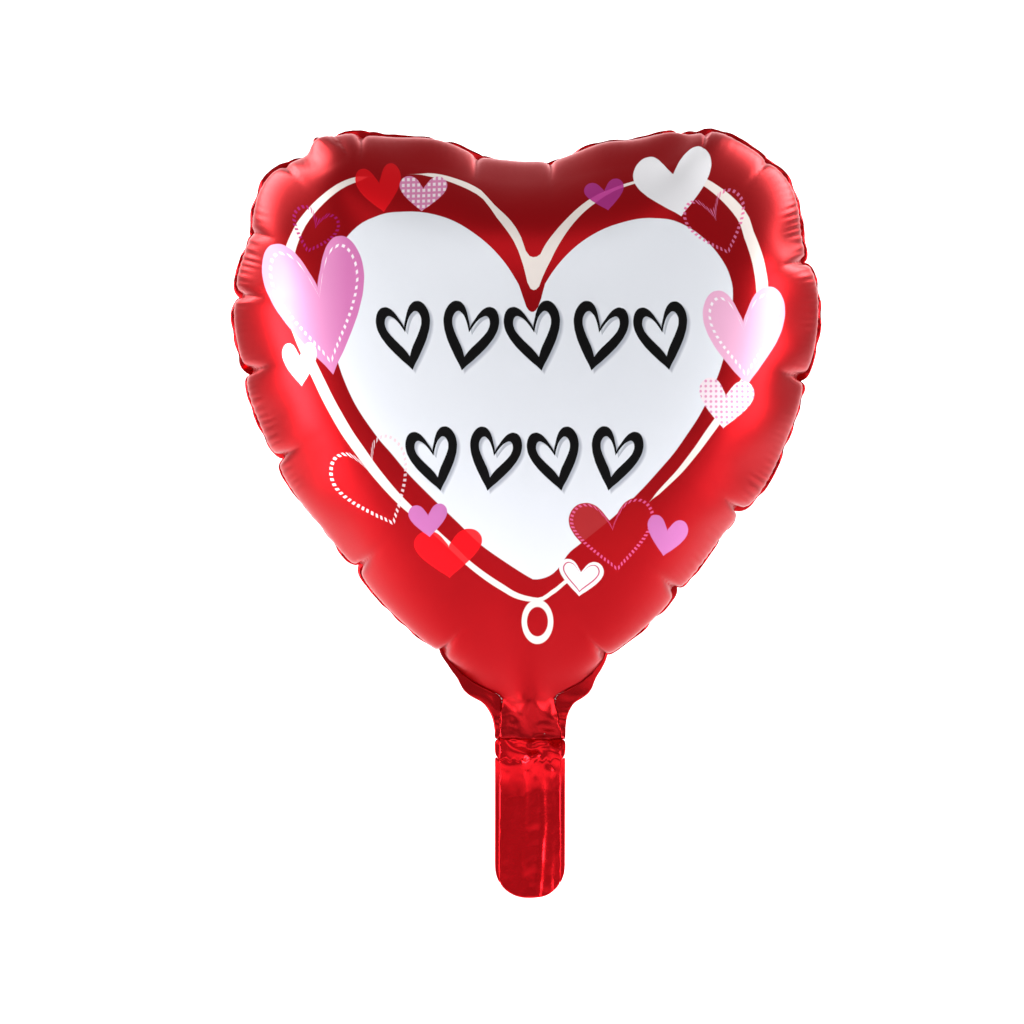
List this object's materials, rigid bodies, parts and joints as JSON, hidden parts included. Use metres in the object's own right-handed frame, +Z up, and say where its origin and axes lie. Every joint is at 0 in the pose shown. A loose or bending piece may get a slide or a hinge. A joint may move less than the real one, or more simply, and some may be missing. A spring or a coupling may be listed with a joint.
{
  "type": "heart-shaped foil balloon",
  "caption": "Inflated heart-shaped balloon of two welded metallised film panels, with a flat tail, folding neck and self-sealing film valve.",
  "frame": {"origin": "middle of the neck, just under the heart's tip, where the tail folds and the ribbon is tied", "axes": "+Z up from the tail to the heart's lobes, -Y out of the printed front, +X to the right seen from the front"},
  "size_m": [0.3762, 0.1634, 0.493],
  "materials": {
    "foil_print": "transparent red ink on bright metallised film, with a pearl white heart",
    "foil_red": "transparent red ink on bright metallised film",
    "seam_red": "welded red metallised film, fine ribs from the sealing bar",
    "tail_red": "slack red metallised film, bright and crinkled",
    "valve_film": "clear polyethylene film",
    "valve_weld": "milky heat-welded polyethylene",
    "release_coat": "matt heat-resisting print"
  },
  "bodies": {
    "heart": {"front_foil_panel": "foil_print", "rear_foil_panel": "foil_red", "perimeter_seam": "seam_red", "front_neck_web": "tail_red", "rear_neck_web": "tail_red", "valve_front_film": "valve_film", "valve_rear_film": "valve_film", "valve_side_welds": "valve_weld", "valve_release_coat": "release_coat"},
    "neck": {"neck_front_ply": "tail_red", "neck_rear_ply": "tail_red", "neck_side_seams": "seam_red", "valve_inlet_front_film": "valve_film", "valve_inlet_rear_film": "valve_film", "valve_inlet_side_welds": "valve_weld"},
    "tail": {"tail_front_ply": "tail_red", "tail_rear_ply": "tail_red", "tail_side_seams": "seam_red"}
  },
  "joints": [
    {"name": "neck_fold", "type": "hinge", "parent": "heart", "child": "neck", "pos_m": [0, 0, 0], "axis": [1, 0, 0], "range_deg": [-75, 75]},
    {"name": "tail_fold", "type": "hinge", "parent": "neck", "child": "tail", "pos_m": [0, 0, -0.017], "axis": [1, 0, 0], "range_deg": [-60, 60]}
  ]
}
